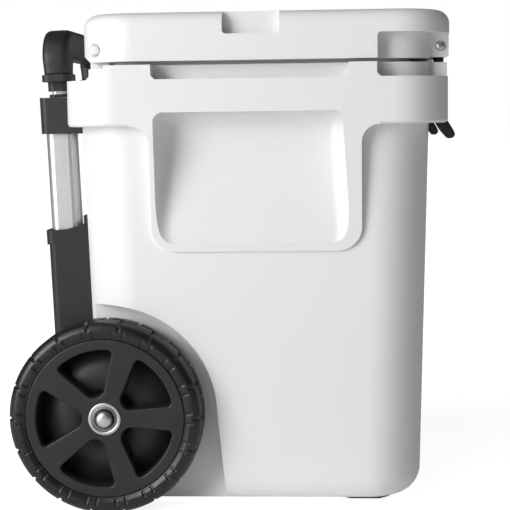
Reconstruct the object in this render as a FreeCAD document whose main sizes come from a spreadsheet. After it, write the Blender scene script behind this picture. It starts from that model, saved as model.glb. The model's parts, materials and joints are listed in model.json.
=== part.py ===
import FreeCAD, Part
import os
import re
import Sketcher
from FreeCAD import Placement, Rotation, Vector

# A wheeled cooler: a double-walled tub with an axle and a telescoping handle
# behind it, and a hinged lid held by two latches in front.
# +X points to the front (latches), +Y to the left, +Z up. Millimetres.
# The origin is at the middle of the overall box, on the ground.

SIZES = {
    # tub, outside
    "body_len": 410.0, "body_wid": 454.0, "band_top": 462.5, "band_tall": 49.0,
    "wall_back": 13.0, "wall_front": 19.5, "wall_side": 15.0, "wall_slope": 0.0262,
    "base_z": 5.0, "plan_round": 58.0, "base_round": 30.0, "band_round": 4.0,
    # tub, inside
    "skin": 3.5, "foam_gap": 0.3, "mouth_back": 69.0, "mouth_front": 58.0,
    "mouth_side": 55.0, "mouth_round": 40.0, "tub_slope": 0.05, "floor_z": 60.0,
    # rim that the lid closes on
    "rim_tall": 15.2, "rim_back": 32.0, "rim_front": 18.0, "rim_side": 24.0,
    "rim_round": 42.0, "relief_len": 16.0, "relief_deep": 4.0,
    "flush_len": 65.6, "tab_x": 113.8, "tab_len": 29.0, "rim_foot": 4.0,
    # lid
    "lid_gap": 3.9, "lid_top": 532.5, "lid_back": 18.9, "lid_front": 1.9,
    "lid_side": 7.0, "lid_round": 14.0, "lid_chamfer_x": 11.0, "lid_chamfer_z": 8.8,
    "notch_x": -2.7, "notch_len": 59.8, "notch_deep": 14.0, "notch_z": 508.9,
    "recess_x": 129.0, "recess_z": 508.4, "recess_round": 4.0, "plug_deep": 8.0,
    "plug_gap": 3.0,
    "seal_wide": 10.0, "seal_off": 9.0, "groove_deep": 4.0, "seal_lift": 0.3,
    # lid hinge
    "pin_in": 35.2, "pin_z": 494.2, "pin_rad": 4.0, "pin_head_rad": 5.5,
    "pin_head_len": 2.5, "pin_pocket": 4.0, "lug_rad": 10.5, "lug_y": 135.0,
    "lug_wide": 60.0, "lug_gap": 1.5, "lug_swing": 2.5, "run_gap": 0.05,
    # latches
    "latch_y": 135.0, "latch_wide": 44.0, "latch_gap": 2.0, "latch_thick": 11.0,
    "latch_reach": 11.0, "latch_in": 8.3, "latch_z": 494.8, "latch_eye": 7.0,
    "latch_pin_rad": 3.0, "latch_head_rad": 5.0, "ear_thick": 12.0, "ear_back": 20.0,
    "ear_low": 1.4, "channel_deep": 19.0, "keeper_deep": 5.0, "keeper_tall": 9.0,
    "keeper_rise": 7.5, "keeper_wide": 30.0, "tooth_gap": 1.2, "tooth_tall": 5.0,
    "tip_z": 394.0, "lever_in": 2.5,
    # hand-holds in the two sides
    "hold_x": -7.0, "hold_len": 198.0, "hold_top": 428.0, "hold_low": 283.0,
    "hold_deep": 36.0, "hold_round": 20.0, "hold_skew": 9.0, "hold_soft": 16.0, "frame_edge_back": 5.0,
    "frame_edge_front": 20.0, "frame_low": 280.0, "frame_step": 2.5,
    "frame_round": 26.0, "flare": 20.0,
    # wheels and axle
    "axle_in": 42.0, "axle_rad": 6.0, "wheel_rad": 104.0, "wheel_wide": 49.0,
    "wheel_out": 7.0, "well_gap": 14.0, "well_toe": 11.0, "well_deep": 7.0,
    "rim_rad": 85.5, "ring_thick": 10.5, "web_thick": 5.0, "web_back": 18.0,
    "hub_rad": 22.0, "hub_in": 3.0, "bush_thick": 3.0, "bush_len": 14.0,
    "spoke_root": 13.0, "spoke_tip": 25.0, "tread_deep": 3.0, "lug_len": 31.0,
    "washer_rad": 18.0, "washer_thick": 2.0, "cap_rad": 9.0, "cap_len": 8.0,
    "side_gap": 0.3, "spacer_rad": 11.0,
    # feet
    "foot_x": 114.0, "foot_len": 53.0, "foot_wid": 40.0, "foot_y": 152.0,
    "heel_x": -31.0, "heel_y": 112.0, "foot_taper": 9.0,
    # handle, measured along its leaning legs from leg_z
    "leg_y": 118.0, "leg_z": 448.0, "leg_out": 18.8, "lean": 0.0349,
    "outer_x": 34.0, "outer_y": 24.0, "outer_round": 9.0, "outer_wall": 1.6,
    "outer_len": 366.0, "mid_x": 21.5, "mid_y": 16.0, "mid_round": 6.0, "mid_wall": 1.3,
    "mid_len": 362.0, "inner_x": 16.0, "inner_y": 11.0, "inner_round": 4.5,
    "inner_wall": 1.3, "inner_len": 356.0, "collar_drop": 1.6, "collar_lip": 0.4,
    "slide_gap": 0.15, "bush_tall": 22.0, "tube_drop": 4.0, "collar_tall": 3.6,
    "sleeve_x": 24.0, "sleeve_y": 20.0, "sleeve_round": 7.0, "sleeve_z": 5.5,
    "sleeve_tall": 10.5, "ring_x": 32.5, "ring_y": 42.0, "ring_round": 8.0, "ring_tall": 7.6,
    "grip_x": 30.2, "grip_y": 40.0, "grip_top": 74.3, "grip_low": 42.0, "grip_back_round": 14.0,
    "grip_front_round": 6.0, "socket_deep": 20.0,
    # bracket and housing that carry the handle and the axle
    "block_wide": 40.0, "block_back": 20.5, "block_round": 8.0, "bracket_z": 406.0, "bracket_top": 446.0,
    "bracket_web": 10.0, "flange_gap": 0.2, "housing_low": 63.0, "housing_top": 299.0,
    "housing_rise": 8.0, "housing_rim": 16.0, "housing_step": 2.5,
    "housing_back": 19.5, "housing_web": 14.0, "beam_tall": 24.0, "beam_gap": 0.5,
    "beam_over": 9.0, "screw_rad": 2.5, "screw_head": 5.0, "screw_head_len": 3.0,
    "screw_len": 14.0,
}

# Places worked out from the sizes above.
PLACES = {
    "mid_x_body": "((wheel_rad - axle_in) - latch_reach) / 2",
    "rear": "(mid_x_body - body_len / 2)",
    "front": "(mid_x_body + body_len / 2)",
    "side": "(body_wid / 2)",
    "band_low": "(band_top - band_tall)",
    "rim_top": "(band_top + rim_tall)",
    "lid_low": "(rim_top + lid_gap)",
    "wall_rear": "(rear + wall_back)",
    "wall_fore": "(front - wall_front)",
    "wall_y": "(side - wall_side)",
    "mouth_x0": "(rear + mouth_back)",
    "mouth_x1": "(front - mouth_front)",
    "mouth_y": "(side - mouth_side)",
    "pin_x": "(rear + pin_in)",
    "latch_x": "(front - latch_in)",
    "recess_face": "(front - rim_front)",
    "recess_y": "(side - rim_side)",
    "axle_x": "(rear + axle_in)",
    "axle_z": "wheel_rad",
    "wheel_y": "(side + wheel_out)",
    "well_y": "(wheel_y - wheel_wide - well_deep)",
    "leg_x": "(rear - leg_out)",
    "cheek_y": "(side - lid_side - plan_round"
               " + sqrt(plan_round ^ 2 - (plan_round - pin_in + lid_back) ^ 2))",
    "frame_face": "(wall_y - wall_slope * (band_low - frame_low) + frame_step)",
    "hub_y": "(wheel_y - hub_in)",
    "hub_len": "(wheel_wide - hub_in - hub_in)",
}

doc = FreeCAD.newDocument("wheeled_cooler")
sheet = doc.addObject("Spreadsheet::Sheet", "Sizes")
for row, (alias, size) in enumerate(SIZES.items(), 1):
    sheet.set(f"A{row}", alias)
    sheet.set(f"B{row}", str(size))
    sheet.setAlias(f"B{row}", alias)
doc.recompute()


def expr(text):
    """Write out a place or size name as an expression on the sheet."""
    def swap(match):
        word = match.group(0)
        if word in PLACES:
            return f"({expr(PLACES[word])})"
        return f"Sizes.{word}" if word in SIZES else word
    return re.sub(r"[a-z_][a-z_0-9]*", swap, str(text))


def num(text):
    return float(sheet.evalExpression(expr(text)))


def bind(thing, prop, text):
    thing.setExpression(prop, expr(text))


def new_body(label):
    body = doc.addObject("PartDesign::Body", label)
    body.Label = label
    return body


def outline(body, role, offset, points):
    """A closed outline through the points, on an origin plane moved along its normal."""
    sketch = body.newObject("Sketcher::SketchObject", "outline")
    plane = [item for item in body.Origin.OriginFeatures if item.Role == role][0]
    sketch.AttachmentSupport = [(plane, "")]
    sketch.MapMode = "FlatFace"
    bind(sketch, ".AttachmentOffset.Base.z", offset)
    spots = [Vector(num(x), num(y), 0) for x, y in points]
    count = len(spots)
    for i in range(count):
        sketch.addGeometry(Part.LineSegment(spots[i], spots[(i + 1) % count]), False)
    for i in range(count):
        sketch.addConstraint(Sketcher.Constraint("Coincident", i, 2, (i + 1) % count, 1))
        for kind, spot, text in (("DistanceX", spots[i].x, points[i][0]),
                                 ("DistanceY", spots[i].y, points[i][1])):
            mark = sketch.addConstraint(Sketcher.Constraint(kind, -1, 1, i, 1, spot))
            bind(sketch, f"Constraints[{mark}]", text)
    return sketch


def rectangle(body, role, offset, x0, x1, y0, y1):
    return outline(body, role, offset, [(x0, y0), (x1, y0), (x1, y1), (x0, y1)])


def pad(body, sketch, length, back=False, slope=None):
    feature = body.newObject("PartDesign::Pad", "pad")
    feature.Profile = sketch
    feature.Reversed = back
    bind(feature, "Length", length)
    if slope:
        bind(feature, "TaperAngle", f"-atan({slope})")
    doc.recompute()
    return feature


def pocket(body, sketch, length, back=False):
    """Cut an outline into the body, and make sure that it removed something."""
    before = body.Shape.Volume
    feature = body.newObject("PartDesign::Pocket", "pocket")
    feature.Profile = sketch
    feature.Reversed = back
    bind(feature, "Length", length)
    doc.recompute()
    if body.Shape.Volume > before - 1:
        raise ValueError(f"{body.Label}: a pocket cuts nothing")
    return feature


def round_edges(body, feature, radius, test):
    """Fillet the edges whose middle and direction pass the test."""
    names = []
    for i, edge in enumerate(feature.Shape.Edges, 1):
        middle = edge.valueAt((edge.FirstParameter + edge.LastParameter) / 2)
        way = edge.tangentAt((edge.FirstParameter + edge.LastParameter) / 2)
        if test(middle, way):
            names.append(f"Edge{i}")
    if not names:
        raise ValueError(f"{body.Label}: no edge to round")
    fillet = body.newObject("PartDesign::Fillet", "fillet")
    fillet.Base = (feature, names)
    bind(fillet, "Radius", radius)
    doc.recompute()
    return fillet


def soften(label, part, radius, test):
    """Fillet every edge whose two ends and middle pass the test."""
    doc.recompute()
    fillet = doc.addObject("Part::Fillet", label)
    fillet.Label = label
    fillet.Base = part
    chosen = []
    for i, edge in enumerate(part.Shape.Edges, 1):
        middle = edge.valueAt((edge.FirstParameter + edge.LastParameter) / 2)
        if all(test(spot) for spot in (middle, *[end.Point for end in edge.Vertexes])):
            chosen.append((i, num(radius), num(radius)))
    fillet.Edges = chosen
    return fillet


def upright(middle, way):
    return abs(way.z) > 0.9


def level_at(text):
    height = num(text)
    return lambda middle, way: abs(middle.z - height) < 0.01 and abs(way.z) < 0.01


def plan_block(label, x0, x1, half, z0, z1, radius, slope=None):
    """A block with rounded upright corners, which may narrow downwards."""
    body = new_body(label)
    sketch = rectangle(body, "XY_Plane", z1, x0, x1, f"-({half})", half)
    block = pad(body, sketch, f"({z1}) - ({z0})", back=True, slope=slope)
    round_edges(body, block, radius, upright)
    return body


def side_prism(label, points, y0, y1):
    """An outline in X and Z, carried from y0 to y1."""
    body = new_body(label)
    pad(body, outline(body, "XZ_Plane", f"-({y1})", points), f"({y1}) - ({y0})")
    return body


def box(label, x0, x1, y0, y1, z0, z1):
    block = doc.addObject("Part::Box", label)
    block.Label = label
    for prop, low, high in (("Length", x0, x1), ("Width", y0, y1), ("Height", z0, z1)):
        bind(block, prop, f"({high}) - ({low})")
    for axis, low in zip("xyz", (x0, y0, z0)):
        bind(block, f"Placement.Base.{axis}", low)
    return block


def rod(label, radius, length, x, y, z, along="y"):
    """A cylinder from a point, along +X, +Y or +Z."""
    part = doc.addObject("Part::Cylinder", label)
    part.Label = label
    turn = {"x": (Vector(0, 1, 0), 90), "y": (Vector(1, 0, 0), -90), "z": (Vector(0, 0, 1), 0)}
    part.Placement = Placement(Vector(), Rotation(*turn[along]))
    bind(part, "Radius", radius)
    bind(part, "Height", length)
    for axis, place in zip("xyz", (x, y, z)):
        bind(part, f"Placement.Base.{axis}", place)
    return part


def fuse(label, *parts):
    whole = doc.addObject("Part::MultiFuse", label)
    whole.Label = label
    whole.Shapes = list(parts)
    whole.Refine = True
    return whole


def cut(label, base, *tools):
    """Take one or more tools away from a base."""
    tool = tools[0] if len(tools) == 1 else fuse(f"{label}_tools", *tools)
    whole = doc.addObject("Part::Cut", label)
    whole.Label = label
    whole.Base = base
    whole.Tool = tool
    whole.Refine = True
    return whole


def meet(label, one, two):
    whole = doc.addObject("Part::Common", label)
    whole.Label = label
    whole.Base = one
    whole.Tool = two
    return whole


def mirror(label, part):
    """The same piece on the other side of the cooler's middle plane."""
    other = doc.addObject("Part::Mirroring", label)
    other.Label = label
    other.Source = part
    other.Normal = Vector(0, 1, 0)
    return other


def both(label, part):
    return group(label, part, mirror(f"{label}_other", part))


def group(label, *parts):
    whole = doc.addObject("Part::Compound", label)
    whole.Label = label
    whole.Links = list(parts)
    return whole


def lean(part):
    """Stand a piece drawn upright about the Z axis on the leaning line of the legs."""
    part.Placement = Placement(Vector(), Rotation(Vector(0, 1, 0), -2))
    bind(part, "Placement.Rotation.Angle", "-atan(lean)")
    bind(part, "Placement.Base.x", "leg_x")
    bind(part, "Placement.Base.z", "leg_z")
    return part


def axis_at(height):
    return f"(leg_x - lean * (({height}) - leg_z))"


def wall_at(height):
    return f"(wall_rear + wall_slope * (band_low - ({height})))"


# ---- tub ----

def hand_hold(label, grow):
    """The hollow for the fingers: deepest under the band, running out to flush below."""
    back = f"mid_x_body + hold_x - hold_len / 2 - {grow}"
    fore = f"mid_x_body + hold_x + hold_len / 2 + {grow}"
    low = f"hold_low - {grow}"
    top = f"hold_top + {grow}"
    front = new_body(f"{label}_front")
    plate = pad(front, outline(front, "XZ_Plane", "side - hold_deep - skin - 9",
                               [(back, low), (f"{fore} + hold_skew", low), (fore, top), (back, top)]),
                "hold_deep + skin + 30")
    low_z = num(low) + 1
    top_z = num(top) - 1
    plate = round_edges(front, plate, f"hold_round + {grow}",
                        lambda at, way: abs(way.y) > 0.9 and at.z < low_z)
    round_edges(front, plate, "hold_round / 2", lambda at, way: abs(way.y) > 0.9 and at.z > top_z)
    wedge = new_body(f"{label}_wedge")
    deep = f"-(side - hold_deep - {grow})"
    ramp = outline(wedge, "YZ_Plane", "mid_x_body - body_len / 2",
                   [("-side - 20", top), (deep, top), (deep, "hold_top - 40"),
                    (f"-(frame_face - {grow})", low), ("-side - 20", low)])
    block = pad(wedge, ramp, "body_len")
    bend = num("hold_top") - 40
    round_edges(wedge, block, "100", lambda at, way: abs(way.x) > 0.9 and abs(at.z - bend) < 0.1)
    return soften(f"{label}_soft", meet(label, front, wedge), f"hold_soft + {grow}",
                  lambda at: at.y > num("-(frame_face)") - 1 and at.z < top_z)


def hold_frame(label):
    """The raised frame round a hand-hold, flush with the band above and stepped below."""
    back = "mid_x_body + hold_x - hold_len / 2 - frame_edge_back"
    fore = "mid_x_body + hold_x + hold_len / 2 + frame_edge_front"
    outer = new_body(f"{label}_outer")
    plate = pad(outer, outline(outer, "XZ_Plane", "wall_y - 30",
                               [(back, "frame_low"), (fore, "frame_low"), (fore, "band_low"),
                                (f"{fore} + flare", "band_low"),
                                (f"{fore} + flare", "band_low + band_round"),
                                (f"{back} - flare", "band_low + band_round"),
                                (f"{back} - flare", "band_low"),
                                (back, "band_low")]), "60")
    low = num("frame_low") + 1
    inner = num("band_low")
    plate = round_edges(outer, plate, "frame_round", lambda at, way: abs(way.y) > 0.9 and at.z < low)
    left = num(back)
    right = num(fore)
    round_edges(outer, plate, "flare - 1",
                lambda at, way: abs(way.y) > 0.9 and abs(at.z - inner) < 0.1
                and (abs(at.x - left) < 0.1 or abs(at.x - right) < 0.1))
    wedge = new_body(f"{label}_wedge")
    pad(wedge, outline(wedge, "YZ_Plane", "mid_x_body - body_len / 2",
                       [("-side", "band_low + 10"), ("-(wall_y - 25)", "band_low + 10"),
                        ("-(wall_y - 25)", "frame_low - 1"), ("-frame_face", "frame_low - 1"),
                        ("-side", "band_low - 6")]), "body_len")
    return meet(label, outer, wedge)


def wheel_well(label, grow):
    """Room for a wheel: round over the tyre, then straight down in front of it."""
    radius = f"wheel_rad + well_gap + {grow}"
    depth = "side - well_y + 30"
    over = rod(f"{label}_over", radius, f"{depth} + {grow}", "axle_x", "-side - 30", "axle_z")
    toe = side_prism(f"{label}_toe",
                     [(f"axle_x - {radius} - 20", "axle_z"), (f"axle_x + {radius}", "axle_z"),
                      (f"axle_x + {radius} + well_toe", "-10"), (f"axle_x - {radius} - 20", "-10")],
                     "-side - 30", f"-well_y + {grow}")
    return fuse(label, over, toe)


def latch_channel(label, grow):
    return box(label, f"front - channel_deep - {grow}", "front + 20",
               f"-latch_y - latch_wide / 2 - latch_gap - {grow}",
               f"-latch_y + latch_wide / 2 + latch_gap + {grow}", "band_low - 60", "band_top + 40")


def axle_slot(label, grow):
    return box(label, "rear - 20", f"axle_x + beam_over + beam_gap + {grow}",
               "-side - 20", "side + 20",
               f"axle_z - beam_tall / 2 - beam_gap - {grow}",
               f"axle_z + beam_tall / 2 + beam_gap + {grow}")


def tub_mouth(label, grow):
    """The space for food and ice, narrowing to its floor."""
    return plan_block(label, f"mouth_x0 - {grow}", f"mouth_x1 + {grow}", f"mouth_y + {grow}",
                      f"floor_z - {grow}", "rim_top + 1", f"mouth_round + {grow}", "tub_slope")


def tub_hollows(label, grow):
    """Everything that reaches into the tub from outside, grown by a wall."""
    tools = [tub_mouth(f"{label}_mouth", grow), axle_slot(f"{label}_slot", grow)]
    for name, maker in (("hold", hand_hold), ("well", wheel_well), ("channel", latch_channel)):
        near = maker(f"{label}_{name}", grow)
        tools += [near, mirror(f"{label}_{name}_far", near)]
    return tools


def foam_space(label, inset):
    """The room between the two skins, this far inside them."""
    lower = plan_block(f"{label}_lower", f"wall_rear + {inset}", f"wall_fore - {inset}",
                       f"wall_y - {inset}", f"base_z + {inset}", "band_low + 5",
                       "plan_round - 2", "wall_slope")
    round_edges(lower, lower.Tip, f"base_round - {inset}", level_at(f"base_z + {inset}"))
    band = plan_block(f"{label}_band", f"rear + {inset}", f"front - {inset}", f"side - {inset}",
                      f"band_low + {inset}", f"band_top - {inset}", f"plan_round - {inset}")
    neck = plan_block(f"{label}_neck", f"rear + rim_back + relief_len + {inset}",
                      f"recess_face - {inset}", f"recess_y - {inset}", "band_low + 10",
                      f"rim_top - {inset}", f"rim_round - {inset}")
    solid = fuse(f"{label}_solid", lower, band, neck)
    return cut(label, solid, *tub_hollows(f"{label}_hollows", inset))


def screw_holes(label, radius):
    """Holes for the screws that hold the bracket and the housing."""
    tools = []
    for i, (x, y, z) in enumerate(SCREW_PLACES):
        tools.append(rod(f"{label}_{i}", radius, "screw_len + 40", f"{x} - 20", y, z, "x"))
    return tools


SCREW_PLACES = [("rear", y, "band_low + 22") for y in ("-80", "-28", "28", "80")]
SCREW_PLACES += [(wall_at(z), y, z) for z in ("150", "265") for y in ("-70", "70")]


def tub_outside():
    band = plan_block("band", "rear", "front", "side", "band_low", "band_top", "plan_round")
    round_edges(band, band.Tip, "band_round", level_at("band_low"))
    lower = plan_block("lower", "wall_rear", "wall_fore", "wall_y", "base_z",
                       "band_low + 5", "plan_round", "wall_slope")
    round_edges(lower, lower.Tip, "base_round", level_at("base_z"))
    core = plan_block("rim_core", "rear + rim_back", "recess_face", "recess_y",
                      "band_top - 5", "rim_top", "rim_round")
    plan = plan_block("rim_plan", "rear", "front", "side", "band_top - 5", "rim_top", "plan_round")
    flush = rim_stand("rim_flush", "rear + rim_back", "rear + rim_back + flush_len")
    tab = rim_stand("rim_tab", "mid_x_body + tab_x - tab_len / 2", "mid_x_body + tab_x + tab_len / 2")
    stands = meet("rim_stands", fuse("rim_stand_pair", flush, tab), plan)
    frame = hold_frame("hold_frame")
    return fuse("tub_outside", band, lower, core, stands, frame,
                mirror("hold_frame_far", frame), *rim_ears(), *hinge_lugs())


def rim_stand(label, x0, x1):
    """A stretch of rim as wide as the band, with a sloped foot at each end."""
    return side_prism(label, [(f"{x0} - rim_foot", "band_top - 5"), (f"{x1} + rim_foot", "band_top - 5"),
                              (f"{x1} + rim_foot", "band_top"), (x1, "band_top + rim_foot"),
                              (x1, "rim_top"), (x0, "rim_top"), (x0, "band_top + rim_foot"),
                              (f"{x0} - rim_foot", "band_top")], "-side", "side")


def rim_ears():
    ears = []
    for i, sign in enumerate(("-", "+")):
        middle = f"(-latch_y {sign} (latch_wide / 2 + latch_gap + ear_thick / 2))"
        ear = box(f"rim_ear_{i}", "front - ear_back - 10", "front - 1", f"{middle} - ear_thick / 2",
                  f"{middle} + ear_thick / 2", "band_top - 5", "rim_top")
        ears += [ear, mirror(f"rim_ear_far_{i}", ear)]
    return ears


def hinge_lugs():
    low = "-lug_y - lug_wide / 2"
    eye = rod("lug_eye", "lug_rad", "lug_wide", "pin_x", low, "pin_z")
    post = box("lug_post", "pin_x - lug_rad", "pin_x + lug_rad", low, f"{low} + lug_wide",
               "band_top - 5", "pin_z")
    lug = fuse("hinge_lug", eye, post)
    return [lug, mirror("hinge_lug_far", lug)]


def pin_bore(label, radius):
    return rod(label, radius, "body_wid + 20", "pin_x", "-side - 10", "pin_z")


def tub():
    inside = foam_space("foam_room", "skin")
    relief = box("rim_relief", "rear + rim_back - 5", "rear + rim_back + relief_len",
                 "-side - 5", "side + 5", "rim_top - relief_deep", "rim_top + 1")
    clear = box("lug_keep", "pin_x - lug_rad - 0.01", "pin_x + lug_rad + 0.01",
                "-lug_y - lug_wide / 2", "-lug_y + lug_wide / 2", "rim_top - 10", "rim_top + 10")
    relief = cut("rim_relief_cut", relief, clear, mirror("lug_keep_far", clear))
    cut("body_shell", tub_outside(), inside, relief, pin_bore("lug_bore", "pin_rad + run_gap"),
        *tub_hollows("hollow", "0"), *screw_holes("shell_hole", "screw_rad + 0.02"))
    foam = foam_space("foam_solid", "(skin + foam_gap)")
    cut("body_foam", foam, *screw_holes("foam_hole", "screw_rad + 0.3"))


# ---- lid ----

def lid_ears():
    ears = []
    for i, sign in enumerate(("-", "+")):
        middle = f"(-latch_y {sign} (latch_wide / 2 + latch_gap + ear_thick / 2))"
        ear = side_prism(f"lid_ear_{i}",
                         [("front - ear_back - 6", "lid_low + ear_low"),
                          ("front + lid_front - 1", "lid_low + ear_low"),
                          ("front + lid_front - 1", "recess_z + 2"),
                          ("front - ear_back - 6", "recess_z + 2")],
                         f"{middle} - ear_thick / 2", f"{middle} + ear_thick / 2")
        low = num("lid_low") + 5
        fore = num("front") - 3
        round_edges(ear, ear.Tip, "3",
                    lambda at, way: abs(way.y) > 0.9 and at.z < low and at.x > fore)
        ears += [ear, mirror(f"lid_ear_far_{i}", ear)]
    return ears


def seal_ring(label, low, high, grow):
    """A rounded ring on the rim's land, outside the mouth."""
    edges = "mouth_x0 - seal_off", "mouth_x1 + seal_off", "mouth_y + seal_off"
    inner = plan_block(f"{label}_inner", f"{edges[0]} + {grow}", f"{edges[1]} - {grow}",
                       f"{edges[2]} - {grow}", f"{low} - 1", f"{high} + 1", f"mouth_round / 2 - {grow}")
    wide = f"(seal_wide + {grow})"
    outer = plan_block(f"{label}_outer", f"{edges[0]} - {wide}", f"{edges[1]} + {wide}",
                       f"{edges[2]} + {wide}", low, high, f"mouth_round / 2 + {wide}")
    return cut(label, outer, inner)


def lid_space(label, inset):
    """The room for foam inside the lid."""
    return plan_block(label, f"pin_x + lug_rad + lug_swing + {inset}", f"recess_face - {inset}",
                      f"recess_y - {inset}", f"lid_low + groove_deep + {inset}",
                      f"lid_top - {inset}", f"rim_round - {inset}")


def lid():
    slab = plan_block("lid_slab", "rear + lid_back", "front + lid_front", "side - lid_side",
                      "lid_low", "lid_top", "plan_round")
    round_edges(slab, slab.Tip, "lid_round", level_at("lid_top"))
    step = "mid_x_body + recess_x"
    corner = side_prism("lid_corner", [(step, "lid_low - 10"), ("front + 30", "lid_low - 10"),
                                       ("front + 30", "recess_z"), (step, "recess_z")],
                        "-side - 20", "side + 20")
    inner = num(step) + 1
    over = num("recess_z") - 1
    round_edges(corner, corner.Tip, "recess_round",
                lambda at, way: abs(way.y) > 0.9 and at.x < inner and at.z > over)
    keep = plan_block("lid_core", "rear", "recess_face", "recess_y", "lid_low - 11",
                      "recess_z + 1", "rim_round")
    recess = cut("lid_recess", corner, keep)
    back = "rear + lid_back"
    chamfer = side_prism("lid_chamfer",
                         [(f"{back} - 10", "lid_low - 10"),
                          (f"{back} + lid_chamfer_x", "lid_low - 10"),
                          (f"{back} + lid_chamfer_x", "lid_low"),
                          (back, "lid_low + lid_chamfer_z"),
                          (f"{back} - 10", "lid_low + lid_chamfer_z")], "-side", "side")
    notch = side_prism("tie_notch",
                       [("mid_x_body + notch_x - notch_len / 2", "notch_z"),
                        ("mid_x_body + notch_x + notch_len / 2", "notch_z"),
                        ("mid_x_body + notch_x + notch_len / 2", "lid_top + 10"),
                        ("mid_x_body + notch_x - notch_len / 2", "lid_top + 10")],
                       "-side - 10", "-(side - lid_side - notch_deep)")
    floor = num("notch_z") + 1
    round_edges(notch, notch.Tip, "4", lambda at, way: abs(way.y) > 0.9 and at.z < floor)
    gap = "(lug_wide / 2 + lug_gap)"
    hinge = box("hinge_notch", "rear", "pin_x + lug_rad + lug_swing", f"-lug_y - {gap}",
                f"-lug_y + {gap}", "lid_low - 10", "pin_z + lug_rad + lug_swing")
    head = rod("pin_head_room", "pin_head_rad + 2", "side - cheek_y + pin_pocket", "pin_x",
               "-side", "pin_z")
    plug = plan_block("lid_plug", "mouth_x0 + plug_gap", "mouth_x1 - plug_gap",
                      "mouth_y - plug_gap", "lid_low - plug_deep", "lid_low + 1",
                      "mouth_round - plug_gap")
    groove = seal_ring("seal_groove", "lid_low - 1", "lid_low + groove_deep", "0.2")
    body = cut("lid_cut", slab, recess)
    whole = fuse("lid_whole", body, plug, *lid_ears())
    pins = rod("lid_latch_bore", "latch_pin_rad + 0.02", "body_wid", "latch_x", "-side", "latch_z")
    cut("lid_shell", whole, chamfer, notch, mirror("tie_notch_far", notch), hinge,
        mirror("hinge_notch_far", hinge), head, mirror("pin_head_far", head), groove, pins,
        pin_bore("lid_bore", "pin_rad + 0.02"), lid_space("lid_room", "skin"))
    lid_space("lid_foam", "(skin + foam_gap)")
    seal_ring("lid_gasket", "rim_top + seal_lift", "lid_low + groove_deep - 0.2", "0")


def hinge_pins():
    """A headed pin from each side through the lid's cheek and the tub's lug."""
    outer = "(cheek_y - pin_pocket)"
    inner = "(lug_y - lug_wide / 2 - 12)"
    shank = rod("hinge_shank", "pin_rad", f"{outer} - {inner}", "pin_x", f"-{outer}", "pin_z")
    head = rod("hinge_head", "pin_head_rad", "pin_head_len", "pin_x", f"-{outer} - pin_head_len + 0.01",
               "pin_z")
    pin = fuse("hinge_pin_right", shank, head)
    mirror("hinge_pin_left", pin)


# ---- latches ----

def latches():
    eye = rod("latch_barrel", "latch_eye", "latch_wide", "latch_x", "-latch_y - latch_wide / 2",
              "latch_z")
    inside = "(latch_x - 4.8)"
    outside = f"({inside} + latch_thick)"
    tip = "(front + latch_reach)"
    back = "(front - channel_deep)"
    keeper_low = "(band_low + keeper_rise)"
    tooth_low = f"({keeper_low} - tooth_gap - tooth_tall)"
    strap = side_prism("latch_strap",
                       [(inside, "latch_z"), (inside, tooth_low), ("front + lever_in", "tip_z"),
                        (f"{tip} - 3", "tip_z"), (tip, "tip_z + 4"), (f"{outside} + 3", "band_low"),
                        (outside, "band_low + 8"), (outside, "latch_z")],
                       "-latch_y - latch_wide / 2 + 5", "-latch_y + latch_wide / 2 - 5")
    tooth = box("latch_tooth", f"{back} + 0.8", f"{inside} + 2", "-latch_y - keeper_wide / 2",
                "-latch_y + keeper_wide / 2", tooth_low, f"{keeper_low} - tooth_gap")
    bore = rod("latch_bore", "latch_pin_rad + run_gap", "latch_wide + 2", "latch_x",
               "-latch_y - latch_wide / 2 - 1", "latch_z")
    right = cut("latch_right", fuse("latch_body", eye, strap, tooth), bore)
    mirror("latch_left", right)
    reach = "(latch_wide / 2 + latch_gap + ear_thick)"
    shank = rod("latch_shank", "latch_pin_rad", f"{reach} * 2", "latch_x", f"-latch_y - {reach}",
                "latch_z")
    head = rod("latch_head", "latch_head_rad", "2", "latch_x", f"-latch_y - {reach} - 2", "latch_z")
    pin = fuse("latch_pin_right", shank, head)
    mirror("latch_pin_left", pin)
    keeper = box("keeper", back, f"{back} + keeper_deep", "-latch_y - keeper_wide / 2",
                 "-latch_y + keeper_wide / 2", keeper_low, f"{keeper_low} + keeper_tall")
    both("latch_keepers", keeper)


# ---- wheels and axle ----

def ring(label, radius, bore, y0, y1):
    """A plain ring round the axle's line, from y0 to y1."""
    outer = rod(f"{label}_outer", radius, f"({y1}) - ({y0})", "axle_x", y0, "axle_z")
    inner = rod(f"{label}_inner", bore, f"({y1}) - ({y0}) + 2", "axle_x", f"({y0}) - 1", "axle_z")
    return cut(label, outer, inner)


def spoke(label, turn):
    """One spoke, from the hub into the ring, wider at the ring."""
    body = new_body(label)
    root = "hub_rad - 3"
    tip = "rim_rad - ring_thick + 2"
    sketch = outline(body, "XZ_Plane", "0",
                     [(root, "-spoke_root / 2"), (tip, "-spoke_tip / 2"),
                      (tip, "spoke_tip / 2"), (root, "spoke_root / 2")])
    block = pad(body, sketch, "web_back - 2")
    face = -num("web_back - 2")
    round_edges(body, block, "2.5", lambda at, way: abs(at.y - face) < 0.01
                and abs(way.x) > 0.5)
    body.Placement = Placement(Vector(), Rotation(Vector(0, -1, 0), turn))
    bind(body, "Placement.Base.x", "axle_x")
    bind(body, "Placement.Base.y", "-wheel_y + web_back + 1")
    bind(body, "Placement.Base.z", "axle_z")
    return body


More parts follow.
